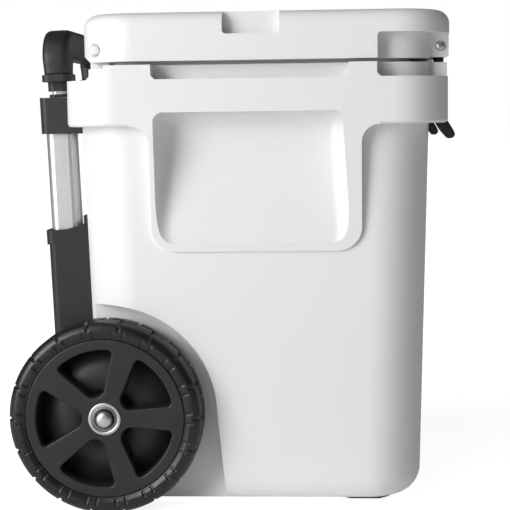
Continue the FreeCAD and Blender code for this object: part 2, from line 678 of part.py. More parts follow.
def tread_lug(label, turn, y0, y1):
    body = new_body(label)
    sketch = outline(body, "XZ_Plane", f"-({y1})",
                     [("wheel_rad - tread_deep - 1", "-lug_len / 2"),
                      ("wheel_rad + 3", "-lug_len / 2 + 1"), ("wheel_rad + 3", "lug_len / 2 - 1"),
                      ("wheel_rad - tread_deep - 1", "lug_len / 2")])
    pad(body, sketch, f"({y1}) - ({y0})")
    body.Placement = Placement(Vector(), Rotation(Vector(0, -1, 0), turn))
    bind(body, "Placement.Base.x", "axle_x")
    bind(body, "Placement.Base.z", "axle_z")
    return body


def wheels():
    face = "(-wheel_y)"
    inner = f"({face} + wheel_wide)"
    hub = rod("hub_core", "hub_rad", "hub_len", "axle_x", "-hub_y", "axle_z")
    rim = ring("rim_ring", "rim_rad", "rim_rad - ring_thick", f"{face} + 2", f"{inner} - 2")
    web = rod("rim_web", "rim_rad - 2", "web_thick", "axle_x", f"{face} + web_back", "axle_z")
    spokes = [spoke(f"spoke_{i}", 72 * i) for i in range(5)]
    bore = rod("hub_bore", "axle_rad + run_gap + bush_thick", "wheel_wide + 10", "axle_x",
               f"{face} - 5", "axle_z")
    whole = fuse("wheel_solid", hub, rim, web, *spokes)
    right = cut("wheel_rim_right", whole, bore)
    mirror("wheel_rim_left", right)
    tread = ring("tyre_base", "wheel_rad - tread_deep", "rim_rad + 0.02", face, inner)
    half = "wheel_wide / 2"
    lugs = []
    for i in range(18):
        lugs.append(tread_lug(f"tread_near_{i}", 20 * i + 10, face, f"{face} + {half} - 2"))
        lugs.append(tread_lug(f"tread_far_{i}", 20 * i, f"{face} + {half} + 2", inner))
    envelope = rod("tyre_envelope", "wheel_rad", "wheel_wide", "axle_x", face, "axle_z")
    tyre = meet("tyre_right", fuse("tyre_lugs", tread, *lugs), envelope)
    mirror("tyre_left", tyre)
    bush = "axle_rad + run_gap + bush_thick - 0.02"
    near = ring("bush_near", bush, "axle_rad + run_gap", "-hub_y", "-hub_y + bush_len")
    far = ring("bush_far", bush, "axle_rad + run_gap", "-hub_y + hub_len - bush_len",
               "-hub_y + hub_len")
    right = group("wheel_bushings_right", near, far)
    mirror("wheel_bushings_left", right)


def axle():
    rod("axle", "axle_rad", "(hub_y + washer_thick + side_gap + 3) * 2", "axle_x",
        "-(hub_y + washer_thick + side_gap + 3)", "axle_z")
    outer = "(hub_y + side_gap)"
    both("axle_washers", ring("washer", "washer_rad", "axle_rad + 0.02",
                              f"-{outer} - washer_thick", f"-{outer}"))
    profile = rod("cap_barrel", "cap_rad", "cap_len", "axle_x", f"-{outer} - washer_thick - cap_len",
                  "axle_z")
    dome = doc.addObject("Part::Fillet", "cap_dome")
    doc.recompute()
    dome.Base = profile
    rims = []
    low = profile.Shape.BoundBox.YMin
    for i, edge in enumerate(profile.Shape.Edges, 1):
        if edge.BoundBox.YMax < low + 0.01:
            rims.append((i, num("cap_len / 2"), num("cap_len / 2")))
    dome.Edges = rims
    socket = rod("cap_socket", "axle_rad + 0.02", "3.05", "axle_x",
                 f"-{outer} - washer_thick - 3.05", "axle_z")
    both("axle_caps", cut("cap", dome, socket))
    both("axle_spacers", ring("spacer", "spacer_rad", "axle_rad + 0.02",
                              "-hub_y + hub_len + side_gap", "-well_y - 0.3"))


def feet():
    for name, x, y in (("front", "mid_x_body + foot_x", "foot_y"),
                       ("rear", "mid_x_body + heel_x", "heel_y")):
        foot = new_body(f"{name}_foot_right")
        block = pad(foot, rectangle(foot, "XY_Plane", "base_z", f"{x} - foot_len / 2",
                                    f"{x} + foot_len / 2", f"-{y} - foot_wid / 2",
                                    f"-{y} + foot_wid / 2"), "base_z", back=True,
                    slope="foot_taper / base_z")
        round_edges(foot, block, "4", lambda at, way: abs(way.z) > 0.3)
        mirror(f"{name}_foot_left", foot)


# ---- handle ----

def oblong(label, x, y, z0, z1, radius):
    """A leaning bar of rounded section, standing on the right leg's line."""
    body = new_body(label)
    block = pad(body, rectangle(body, "XY_Plane", z0, f"-({x}) / 2", f"({x}) / 2",
                                f"-leg_y - ({y}) / 2", f"-leg_y + ({y}) / 2"), f"({z1}) - ({z0})")
    round_edges(body, block, radius, upright)
    return lean(body)


def sleeve(label, outside, inside, z0, z1):
    """A leaning oblong tube or ring between two heights along the leg.

    outside and inside are each a length, a width and a corner radius.
    """
    outer = oblong(f"{label}_outer", *outside[:2], z0, z1, outside[2])
    inner = oblong(f"{label}_inner", *inside[:2], f"{z0} - 1", f"{z1} + 1", inside[2])
    return cut(label, outer, inner)


def section(name, change="0"):
    """The section of a tube, made larger all round by a change."""
    return (f"({name}_x + 2 * ({change}))", f"({name}_y + 2 * ({change}))",
            f"({name}_round + ({change}))")


def tube(name, z0, z1):
    right = sleeve(f"{name}_tube_right", section(name), section(name, f"-{name}_wall"), z0, z1)
    mirror(f"{name}_tube_left", right)


def handle():
    mid_low = "-tube_drop - mid_len"
    sleeve_top = "sleeve_z + sleeve_tall"
    tube("outer", "-tube_drop - outer_len", "-tube_drop")
    tube("mid", mid_low, "-collar_drop")
    tube("inner", "-inner_len", f"{sleeve_top} + ring_tall + socket_deep")
    both("outer_bushings", sleeve("outer_bush", section("outer", "-outer_wall - 0.02"),
                                  section("mid", "slide_gap"), "-tube_drop - bush_tall",
                                  "-tube_drop"))
    both("mid_sliders", sleeve("mid_slider", section("outer", "-outer_wall - slide_gap"),
                               section("mid", "0.02"), f"{mid_low} + 0.5", f"{mid_low} + bush_tall"))
    both("mid_collars", sleeve("mid_collar", section("mid", "collar_lip"),
                               section("inner", "slide_gap"), "-collar_drop",
                               "-collar_drop + collar_tall"))
    both("inner_sliders", sleeve("inner_slider", section("mid", "-mid_wall - slide_gap"),
                                 section("inner", "0.02"), "-inner_len + 0.5",
                                 "-inner_len + bush_tall"))
    both("grip_sleeves", sleeve("grip_sleeve", section("sleeve"), section("inner", "0.02"),
                                "sleeve_z", sleeve_top))
    both("grip_rings", sleeve("grip_ring", section("ring"), section("inner", "0.02"),
                              sleeve_top, f"{sleeve_top} + ring_tall"))
    grip()


def grip():
    """The cross bar with its two elbows, in one moulding."""
    bottom = "sleeve_z + sleeve_tall + ring_tall"
    half = "leg_y + grip_y / 2"
    bar = new_body("grip_bar")
    block = pad(bar, rectangle(bar, "XZ_Plane", f"-({half})", "-grip_x / 2", "grip_x / 2", bottom,
                               "grip_top"), f"({half}) * 2")
    block = pocket(bar, rectangle(bar, "XZ_Plane", "-(leg_y - grip_y / 2)", "-grip_x / 2 - 1",
                                  "grip_x / 2 + 1", f"{bottom} - 1", "grip_low"),
                   "(leg_y - grip_y / 2) * 2", back=True)
    top = num("grip_top")
    block = round_edges(bar, block, "grip_back_round",
                        lambda at, way: abs(way.y) > 0.9 and at.z > top - 0.1 and at.x < 0)
    block = round_edges(bar, block, "grip_front_round",
                        lambda at, way: abs(way.y) > 0.9 and at.z > top - 0.1 and at.x > 0)
    low = num("grip_low")
    block = round_edges(bar, block, "grip_front_round",
                        lambda at, way: abs(way.y) > 0.9 and abs(at.z - low) < 0.1)
    lean(bar)
    room = sleeve_room("grip_socket", bottom)
    cut("grip", bar, room, mirror("grip_socket_far", room))


def sleeve_room(label, bottom):
    x, y, radius = section("inner", "0.02")
    return oblong(label, x, y, f"{bottom} - 1", f"{bottom} + socket_deep + 0.1", radius)


def carriers():
    """The bracket under the band and the housing below it, both screwed to the tub."""
    half = "leg_y + block_wide / 2"
    inner = "leg_y - block_wide / 2"
    x, y, radius = section("outer", "0.05")
    room = oblong("tube_room", x, y, "-tube_drop - outer_len - 0.1", "bracket_top - leg_z + 20", radius)
    rooms = [room, mirror("tube_room_far", room)]
    bracket = side_prism("bracket_solid",
                         [(f"{axis_at('bracket_top')} - block_back", "bracket_top"),
                          ("rear - flange_gap", "bracket_top"),
                          ("rear - flange_gap", "band_low - flange_gap"),
                          (f"{wall_at('bracket_z')} - flange_gap", "band_low - flange_gap"),
                          (f"{wall_at('bracket_z')} - flange_gap", "bracket_z"),
                          (f"{axis_at('bracket_z')} - block_back", "bracket_z")],
                         f"-({half})", half)
    pocket(bracket, rectangle(bracket, "XZ_Plane", f"-({inner})", "rear - 80",
                              "rear - bracket_web", "bracket_z - 5", "bracket_top + 5"),
           f"({inner}) * 2", back=True)
    behind = num("leg_x") - 5
    round_edges(bracket, bracket.Tip, "block_round",
                lambda at, way: abs(way.z) > 0.9 and at.x < behind)
    holes = [rod(f"bracket_hole_{i}", "screw_rad + 0.02", "60", "rear - 30", y, z, "x")
             for i, (x, y, z) in enumerate(SCREW_PLACES[:4])]
    cut("upper_bracket", bracket, *rooms, *holes)

    low = "housing_low"
    top = "housing_top"
    housing = side_prism("housing_solid",
                         [(axis_at(low), low), (f"{wall_at(low)} - flange_gap", low),
                          (f"{wall_at('housing_top + housing_rise')} - flange_gap",
                           "housing_top + housing_rise"), (axis_at(top), top)], f"-({half})", half)
    pocket(housing, outline(housing, "XZ_Plane", f"-({inner})",
                            [("rear - 80", f"{low} - 5"), (f"{wall_at(low)} - housing_web", f"{low} - 5"),
                             (f"{wall_at(top)} - housing_web", "housing_top + 20"),
                             ("rear - 80", "housing_top + 20")]), f"({inner}) * 2", back=True)
    barrel = oblong("housing_barrel", "2 * housing_back", "block_wide", "(housing_low - leg_z)",
                    "(housing_top - leg_z - 1)", "block_round")
    collar = oblong("housing_collar", "2 * (housing_back + housing_step)", "block_wide",
                    "(housing_top - leg_z - housing_rim)", "(housing_top - leg_z)", "block_round")
    blocks = [barrel, collar, mirror("housing_barrel_far", barrel), mirror("housing_collar_far", collar)]
    beam = box("axle_beam", f"{wall_at('axle_z')} - 4", "axle_x + beam_over", "-(well_y - 2)",
               "well_y - 2", "axle_z - beam_tall / 2", "axle_z + beam_tall / 2")
    bore = rod("beam_bore", "axle_rad + 0.02", "body_wid", "axle_x", "-side", "axle_z")
    holes = [rod(f"housing_hole_{i}", "screw_rad + 0.02", "60", f"{x} - 30", y, z, "x")
             for i, (x, y, z) in enumerate(SCREW_PLACES[4:])]
    cut("lower_housing", fuse("housing_whole", housing, beam, *blocks), *rooms, bore, *holes)
    screws("upper_bracket_screws", SCREW_PLACES[:4], "bracket_web")
    screws("housing_screws", SCREW_PLACES[4:], "housing_web")


def screws(label, places, web):
    parts = []
    for i, (x, y, z) in enumerate(places):
        shank = rod(f"{label}_shank_{i}", "screw_rad", f"screw_len + {web}", f"{x} - {web}", y, z, "x")
        head = rod(f"{label}_head_{i}", "screw_head", "screw_head_len",
                   f"{x} - {web} - screw_head_len", y, z, "x")
        parts.append(fuse(f"{label}_{i}", shank, head))
    group(label, *parts)


NODES = [
    "body_shell", "body_foam", "lid_shell", "lid_foam", "lid_gasket", "hinge_pin_right",
    "hinge_pin_left", "latch_right", "latch_left", "latch_pin_right", "latch_pin_left",
    "latch_keepers", "wheel_rim_right", "wheel_rim_left", "tyre_right", "tyre_left",
    "wheel_bushings_right", "wheel_bushings_left", "axle", "axle_washers", "axle_caps",
    "axle_spacers", "front_foot_right", "front_foot_left", "rear_foot_right", "rear_foot_left",
    "outer_tube_right", "outer_tube_left", "outer_bushings", "mid_tube_right", "mid_tube_left",
    "mid_sliders", "mid_collars", "inner_tube_right", "inner_tube_left", "inner_sliders",
    "grip_sleeves", "grip_rings", "grip", "upper_bracket", "lower_housing",
    "upper_bracket_screws", "housing_screws",
]

tub()
lid()
hinge_pins()
latches()
wheels()
axle()
feet()
handle()
carriers()
doc.recompute()

for item in doc.Objects:
    if "Invalid" in item.State or "Error" in item.State:
        raise ValueError(f"{item.Label} did not build: {item.State}")
os.makedirs("parts", exist_ok=True)
for name in NODES:
    shape = doc.getObjectsByLabel(name)[0].Shape
    if shape.isNull() or not shape.isValid():
        raise ValueError(f"{name} has no valid shape")
    shape.exportStep(f"parts/{name}.step")
    bounds = shape.BoundBox
    print(f"{name}: {len(shape.Solids)} solid(s), {shape.Volume / 1000:.1f} cm3, "
          f"X {bounds.XMin:.1f}..{bounds.XMax:.1f} Y {bounds.YMin:.1f}..{bounds.YMax:.1f} "
          f"Z {bounds.ZMin:.1f}..{bounds.ZMax:.1f}")
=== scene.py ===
import json
import math

import bpy
import numpy as np
from mathutils import Matrix, Vector


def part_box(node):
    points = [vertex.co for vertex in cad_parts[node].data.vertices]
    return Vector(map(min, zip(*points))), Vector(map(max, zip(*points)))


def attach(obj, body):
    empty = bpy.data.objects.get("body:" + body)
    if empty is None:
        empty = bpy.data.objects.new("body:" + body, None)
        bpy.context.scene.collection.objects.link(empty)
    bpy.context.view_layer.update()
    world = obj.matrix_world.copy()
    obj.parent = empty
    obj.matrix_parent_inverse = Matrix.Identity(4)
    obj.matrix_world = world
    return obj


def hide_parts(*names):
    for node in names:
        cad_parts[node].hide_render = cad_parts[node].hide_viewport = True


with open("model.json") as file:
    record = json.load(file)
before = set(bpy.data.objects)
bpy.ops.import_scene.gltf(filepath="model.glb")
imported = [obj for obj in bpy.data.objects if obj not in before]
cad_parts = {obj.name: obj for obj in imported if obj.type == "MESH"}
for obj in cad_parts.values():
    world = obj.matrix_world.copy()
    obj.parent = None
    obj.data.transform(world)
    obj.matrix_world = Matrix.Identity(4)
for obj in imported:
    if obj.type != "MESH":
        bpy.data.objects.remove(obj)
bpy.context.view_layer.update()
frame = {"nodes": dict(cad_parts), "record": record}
nodes = frame["nodes"]
joints = {joint["name"]: joint for joint in frame["record"]["behaviour"]["joints"]}
print("frame loaded:", len(nodes), "nodes")


def newGroup(name, inputs, outputs):
    # inputs are (label, default) and outputs (label, socket type)
    group = bpy.data.node_groups.new(name, "ShaderNodeTree")
    for label, value in inputs:
        kind = "NodeSocketColor" if isinstance(value, tuple) else "NodeSocketFloat"
        socket = group.interface.new_socket(label, in_out="INPUT", socket_type=kind)
        socket.default_value = value
    for label, kind in outputs:
        group.interface.new_socket(label, in_out="OUTPUT", socket_type=kind)
    return group, group.nodes.new("NodeGroupInput"), group.nodes.new("NodeGroupOutput")


def mathNode(tree, operation, first, second, clamp=False):
    node = tree.nodes.new("ShaderNodeMath")
    node.operation = operation
    node.use_clamp = clamp
    for i, source in enumerate((first, second)):
        if isinstance(source, (int, float)):
            node.inputs[i].default_value = source
        else:
            tree.links.new(source, node.inputs[i])
    return node.outputs[0]


def objectPoint(tree, stretch=(1, 1, 1)):
    place = tree.nodes.new("ShaderNodeTexCoord")
    mapping = tree.nodes.new("ShaderNodeMapping")
    mapping.inputs["Scale"].default_value = stretch
    tree.links.new(place.outputs["Object"], mapping.inputs["Vector"])
    return mapping.outputs["Vector"]


def noiseAt(tree, vector, scale, detail=2.0):
    node = tree.nodes.new("ShaderNodeTexNoise")
    if isinstance(scale, (int, float)):
        node.inputs["Scale"].default_value = scale
    else:
        tree.links.new(scale, node.inputs["Scale"])
    node.inputs["Detail"].default_value = detail
    tree.links.new(vector, node.inputs["Vector"])
    return node.outputs["Fac"]


def mixColour(tree, mask, first, second):
    # sockets 6, 7 and output 2 are the Mix node's colour ones
    node = tree.nodes.new("ShaderNodeMix")
    node.data_type = "RGBA"
    tree.links.new(mask, node.inputs["Factor"])
    for socket, source in ((node.inputs[6], first), (node.inputs[7], second)):
        if isinstance(source, tuple):
            socket.default_value = source
        else:
            tree.links.new(source, socket)
    return node.outputs[2]


def makeMouldedSkin():
    # fine moulded texture: two sizes of grain for the bump, and slow cloudy shifts of tone
    group, given, result = newGroup(
        "mouldedSkin",
        [("Colour", (0.8, 0.8, 0.8, 1)), ("Cloud Colour", (0.7, 0.7, 0.7, 1)), ("Grain Size", 900.0),
         ("Cloud Size", 7.0), ("Roughness", 0.4), ("Roughness Change", 0.1)],
        [("Colour", "NodeSocketColor"), ("Roughness", "NodeSocketFloat"), ("Height", "NodeSocketFloat")])
    point = objectPoint(group)
    fine = noiseAt(group, point, given.outputs["Grain Size"], 3.0)
    coarse = noiseAt(group, point, mathNode(group, "MULTIPLY", given.outputs["Grain Size"], 0.22))
    cloud = noiseAt(group, point, given.outputs["Cloud Size"], 4.0)
    height = mathNode(group, "ADD", mathNode(group, "MULTIPLY", fine, 0.6),
                      mathNode(group, "MULTIPLY", coarse, 0.4))
    colour = mixColour(group, cloud, given.outputs["Colour"], given.outputs["Cloud Colour"])
    shift = mathNode(group, "MULTIPLY", mathNode(group, "SUBTRACT", coarse, 0.5),
                     given.outputs["Roughness Change"])
    rough = mathNode(group, "ADD", given.outputs["Roughness"], shift)
    for source, label in ((colour, "Colour"), (rough, "Roughness"), (height, "Height")):
        group.links.new(source, result.inputs[label])
    return group


def makeDustAndScuff():
    # pale dust where a slow noise is high, broken into specks by a fine noise
    group, given, result = newGroup(
        "dustAndScuff",
        [("Colour", (0.1, 0.1, 0.1, 1)), ("Dust Colour", (0.3, 0.3, 0.29, 1)), ("Dust Amount", 0.2),
         ("Patch Size", 30.0)],
        [("Colour", "NodeSocketColor"), ("Mask", "NodeSocketFloat")])
    point = objectPoint(group)
    patch = noiseAt(group, point, given.outputs["Patch Size"], 5.0)
    speck = noiseAt(group, point, mathNode(group, "MULTIPLY", given.outputs["Patch Size"], 25.0), 2.0)
    high = mathNode(group, "MULTIPLY", mathNode(group, "SUBTRACT", patch, 0.45), 2.4, clamp=True)
    mask = mathNode(group, "MULTIPLY", mathNode(group, "MULTIPLY", high, speck),
                    given.outputs["Dust Amount"])
    colour = mixColour(group, mask, given.outputs["Colour"], given.outputs["Dust Colour"])
    group.links.new(colour, result.inputs["Colour"])
    group.links.new(mask, result.inputs["Mask"])
    return group


mouldedSkin = makeMouldedSkin()
dustAndScuff = makeDustAndScuff()


def startMaterial(name, **settings):
    material = bpy.data.materials.new(name)
    material.use_nodes = True
    shader = material.node_tree.nodes["Principled BSDF"]
    for label, value in settings.items():
        shader.inputs[label.replace("_", " ")].default_value = value
    return material, material.node_tree, shader


def addBump(tree, shader, height, strength, distance):
    bump = tree.nodes.new("ShaderNodeBump")
    bump.inputs["Strength"].default_value = strength
    bump.inputs["Distance"].default_value = distance
    tree.links.new(height, bump.inputs["Height"])
    tree.links.new(bump.outputs["Normal"], shader.inputs["Normal"])


def mouldedMaterial(name, colour, cloudColour, roughness, grainSize, bump, dust=0.0,
                    dustColour=(0.3, 0.3, 0.29, 1), specular=0.5, change=0.12):
    # moulded plastic or rubber: grain, cloudy tone and a little dust
    material, tree, shader = startMaterial(name, Specular_IOR_Level=specular)
    skin = tree.nodes.new("ShaderNodeGroup")
    skin.node_tree = mouldedSkin
    for label, value in (("Colour", colour), ("Cloud Colour", cloudColour), ("Grain Size", grainSize),
                         ("Roughness", roughness), ("Roughness Change", change)):
        skin.inputs[label].default_value = value
    scuff = tree.nodes.new("ShaderNodeGroup")
    scuff.node_tree = dustAndScuff
    scuff.inputs["Dust Amount"].default_value = dust
    scuff.inputs["Dust Colour"].default_value = dustColour
    tree.links.new(skin.outputs["Colour"], scuff.inputs["Colour"])
    tree.links.new(scuff.outputs["Colour"], shader.inputs["Base Color"])
    tree.links.new(skin.outputs["Roughness"], shader.inputs["Roughness"])
    addBump(tree, shader, skin.outputs["Height"], bump, 0.0004)
    return material


def metalMaterial(name, colour, darker, roughness, stretch, scale, bump):
    # grain drawn out along one direction, or speckled where the stretch is even
    material, tree, shader = startMaterial(name, Metallic=1.0)
    grain = noiseAt(tree, objectPoint(tree, stretch), scale, 3.0)
    tone = mixColour(tree, grain, darker, colour)
    tree.links.new(tone, shader.inputs["Base Color"])
    rough = mathNode(tree, "ADD", mathNode(tree, "MULTIPLY", grain, 0.15), roughness - 0.07)
    tree.links.new(rough, shader.inputs["Roughness"])
    addBump(tree, shader, grain, bump, 0.0002)
    return material


finishes = {
    "white_plastic": mouldedMaterial("whiteRotomould", (0.80, 0.80, 0.79, 1), (0.765, 0.765, 0.76, 1),
                                     0.42, 1400.0, 0.10, 0.05, (0.62, 0.61, 0.58, 1)),
    "foam": mouldedMaterial("foamCore", (0.80, 0.74, 0.52, 1), (0.72, 0.66, 0.45, 1), 0.8, 500.0, 0.4),
    "black_plastic": mouldedMaterial("satinBlackPlastic", (0.017, 0.017, 0.018, 1),
                                     (0.012, 0.012, 0.013, 1), 0.44, 1500.0, 0.16, 0.06,
                                     specular=0.4),
    "grey_plastic": mouldedMaterial("bearingPlastic", (0.22, 0.22, 0.23, 1), (0.18, 0.18, 0.19, 1),
                                    0.5, 1200.0, 0.12, 0.1),
    "black_rubber": mouldedMaterial("latchRubber", (0.012, 0.012, 0.012, 1), (0.017, 0.017, 0.017, 1),
                                    0.6, 1800.0, 0.25, 0.08),
    "foot_rubber": mouldedMaterial("footRubber", (0.035, 0.035, 0.036, 1), (0.05, 0.05, 0.05, 1),
                                   0.65, 1500.0, 0.25, 0.2),
    "tyre_rubber": mouldedMaterial("tyreRubber", (0.0035, 0.0035, 0.0037, 1),
                                   (0.006, 0.006, 0.006, 1), 0.36, 1600.0, 0.22, 0.04, specular=0.5),
    "steel": metalMaterial("plainSteel", (0.62, 0.62, 0.61, 1), (0.48, 0.48, 0.47, 1), 0.34,
                           (1, 1, 1), 700.0, 0.12),
    "zinc_steel": metalMaterial("zincSteel", (0.86, 0.86, 0.84, 1), (0.30, 0.30, 0.29, 1), 0.36,
                                (1, 1, 1), 1300.0, 0.3),
    "aluminium_tube": metalMaterial("satinAluminium", (0.60, 0.61, 0.62, 1), (0.50, 0.51, 0.52, 1),
                                    0.38, (900, 900, 14), 1.0, 0.10),
}
# two looks that aren't slots of their own in the record
# the lid gasket is painted pale grey: painted light that makes the shaded gap between lid and rim read
# lighter
finishes["gasket_rubber"] = mouldedMaterial("gasketRubber", (0.62, 0.62, 0.61, 1),
                                            (0.55, 0.55, 0.54, 1), 0.6, 1500.0, 0.2)
# darker steel for the collar inside the washer: painted shade in the hollow round the axle cap
finishes["dull_steel"] = metalMaterial("dullSteel", (0.34, 0.34, 0.33, 1), (0.12, 0.12, 0.12, 1), 0.45,
                                       (1, 1, 1), 1300.0, 0.3)
slotOf = {part["node"]: part["material_slot"] for part in frame["record"]["subparts"]}
for nodeName, thing in nodes.items():
    thing.data.materials.clear()
    thing.data.materials.append(finishes[slotOf[nodeName]])
nodes["lid_gasket"].data.materials[0] = finishes["gasket_rubber"]
print("materials made:", len(finishes))


def gridFaces(rows, columns, closedRows=False, closedColumns=False):
    # quads between neighbouring rows and columns, wrapping round where an edge is closed
    i = np.arange(rows if closedRows else rows - 1)
    j = np.arange(columns if closedColumns else columns - 1)
    i, j = (part.ravel() for part in np.meshgrid(i, j, indexing="ij"))
    nextRow, nextColumn = (i + 1) % rows, (j + 1) % columns
    return np.stack([i * columns + j, nextRow * columns + j, nextRow * columns + nextColumn,
                     i * columns + nextColumn], axis=1)


def makePiece(name, points, faces, finish, body, replaced=(), flip=False):
    # points (n, 3) and quads (m, 4) become one smooth piece that rides on a body
    mesh = bpy.data.meshes.new(name)
    if flip:
        faces = faces[:, ::-1]
    mesh.from_pydata(points.tolist(), [], faces.tolist())
    mesh.shade_smooth()
    mesh.materials.append(finishes[finish])
    piece = bpy.data.objects.new(name, mesh)
    bpy.context.scene.collection.objects.link(piece)
    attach(piece, body)
    for node in replaced:
        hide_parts(node)
    return piece


def smoothStep(low, high, value):
    # 0 below low, 1 above high, and 3 s^2 - 2 s^3 of the share between
    share = np.clip((value - low) / (high - low), 0, 1)
    return share * share * (3 - 2 * share)


def onAxle(radius, angle, inward, sign):
    # x = axle + radius cos(angle), z = axle + radius sin(angle), y = outer face + inward, towards the tub
    low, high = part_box("tyre_right")
    middleX, middleZ = (low[0] + high[0]) / 2, (low[2] + high[2]) / 2
    outerY = low[1]
    x = middleX + radius * np.cos(angle)
    z = middleZ + radius * np.sin(angle)
    y = -sign * (outerY + inward)
    return np.stack([x, np.broadcast_to(y, x.shape), z], axis=-1).reshape(-1, 3)


tyreSizes = {
    "lugs": 18, "grooveWide": 0.045, "grooveDeep": 0.0022, "shoulder": 0.011, "sidewall": 0.0030,
    "grooveFrom": 0.010, "grooveFull": 0.005, "zigzag": 0.0035, "zigzagSharp": 2.5,
    "middleFrom": 0.0012, "middleTo": 0.0024, "dashHigh": 0.0016, "dashFrom": 0.0165, "dashTo": 0.0105,
    "dashSoftOut": 0.0006, "dashSoftIn": 0.0002, "longDash": (0.20, 0.215), "shortDash": (0.12, 0.135),
    "shortShare": 0.75, "fit": 0.0002, "wallSteps": 22, "treadSteps": 34, "bendSteps": 12,
    "angleSteps": 900,
}


def tyreProfile():
    # (radius, inward) rows: up the outer sidewall, round a shoulder, over the tread and back down
    low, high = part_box("tyre_right")
    outer, wide = (high[0] - low[0]) / 2, high[1] - low[1]
    rimLow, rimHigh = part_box("wheel_rim_right")
    inner = (rimHigh[0] - rimLow[0]) / 2 + tyreSizes["fit"]
    bend = tyreSizes["shoulder"]
    turn = np.linspace(0, math.pi / 2, tyreSizes["bendSteps"])
    wallRadius = np.linspace(inner, outer - bend, tyreSizes["wallSteps"])
    share = (wallRadius - inner) / (outer - bend - inner)
    wall = np.stack([wallRadius, tyreSizes["sidewall"] * (1 - np.sin(math.pi / 2 * share))], axis=1)
    shoulder = np.stack([outer - bend + bend * np.sin(turn), bend - bend * np.cos(turn)], axis=1)
    half = np.concatenate([wall[:-1], shoulder])
    across = np.linspace(bend, wide - bend, tyreSizes["treadSteps"])[1:-1]
    far = half[::-1] * (1, -1) + (0, wide)
    tread = np.stack([np.full(across.size, outer), across], axis=1)
    return np.concatenate([half, tread, far]), outer, wide


def makeTyre(side, sign):
    # radius = profile, less a groove depth at each lug's edge and along a zigzag round the middle;
    # inward = profile, sunk on a band below the shoulder except where dashes stand on it
    profile, outer, wide = tyreProfile()
    angle = np.linspace(0, 2 * math.pi, tyreSizes["angleSteps"], endpoint=False)
    base, turn = np.meshgrid(profile[:, 0], angle, indexing="ij")
    inward = np.broadcast_to(profile[:, 1][:, None], base.shape).copy()
    nearHalf = inward < wide / 2
    within = np.abs((turn * tyreSizes["lugs"] / (2 * math.pi) + np.where(nearHalf, 0.5, 0.0)) % 1 - 0.5)
    cutWide = tyreSizes["grooveWide"]
    onTread = smoothStep(outer - tyreSizes["grooveFrom"], outer - tyreSizes["grooveFull"], base)
    groove = (1 - smoothStep(cutWide * 0.5, cutWide * 1.3, within)) * onTread
    wave = np.clip(tyreSizes["zigzagSharp"] * np.sin(turn * tyreSizes["lugs"]), -1, 1)
    aside = np.abs(inward - wide / 2 - tyreSizes["zigzag"] * wave)
    middle = 1 - smoothStep(tyreSizes["middleFrom"], tyreSizes["middleTo"], aside)
    radius = base - tyreSizes["grooveDeep"] * np.maximum(groove, middle)
    lowEdge, highEdge = outer - tyreSizes["dashFrom"], outer - tyreSizes["dashTo"]
    softOut, softIn = tyreSizes["dashSoftOut"], tyreSizes["dashSoftIn"]
    bandFrom = smoothStep(lowEdge - softOut, lowEdge + softIn, base)
    band = bandFrom * (1 - smoothStep(highEdge - softIn, highEdge + softOut, base))
    shortDash = tyreSizes["shortShare"] * (1 - smoothStep(*tyreSizes["shortDash"], within))
    dash = np.maximum(smoothStep(*tyreSizes["longDash"], within), shortDash)
    sunk = tyreSizes["dashHigh"] * band * (1 - dash)
    inward = np.where(nearHalf, inward + sunk, inward - sunk)
    inward = np.clip(inward, tyreSizes["fit"], wide - tyreSizes["fit"])
    faces = gridFaces(*radius.shape, closedRows=True, closedColumns=True)
    makePiece(f"tyre_{side}_tread", onAxle(radius, turn, inward, sign), faces, "tyre_rubber",
              f"wheel_{side}", [f"tyre_{side}"], flip=sign > 0)


rimSizes = {
    "windowIn": 0.0245, "windowOut": 0.0738, "spokeRoot": 0.0072, "spokeGrow": 0.088,
    "windowRound": 0.0055, "edgeRound": 0.0016, "web": 0.030, "face": 0.0022,
    "angleSteps": 600, "radiusSteps": 150, "bore": 0.0095, "lip": 0.0008, "wallFrom": -0.0012,
    "wallTo": 0.0002, "edgeSteps": 6, "backIn": [0.0, 0.010, 0.011],
    "backRadius": [0.030, 0.024, 0.022, 0.0215],
    "backDepth": [0.003, 0.003, 0.026, 0.0265, 0.024, 0.0045, 0.004, 0.004],
}


def windowDistance(radius, turn):
    # signed distance to a rounded window between two arcs and two spoke edges that spread outwards
    fifth = 2 * math.pi / 5
    local = (turn + fifth / 2) % fifth - fifth / 2
    along, aside = radius * np.cos(local), np.abs(radius * np.sin(local))
    slope = rimSizes["spokeGrow"]
    fromSpoke = (rimSizes["spokeRoot"] + slope * along - aside) / math.hypot(1, slope)
    parts = np.stack([fromSpoke, rimSizes["windowIn"] - radius, radius - rimSizes["windowOut"]])
    corner = rimSizes["windowRound"]
    outside = np.sqrt((np.maximum(parts + corner, 0) ** 2).sum(axis=0))
    return outside + np.minimum(parts.max(axis=0) + corner, 0) - corner


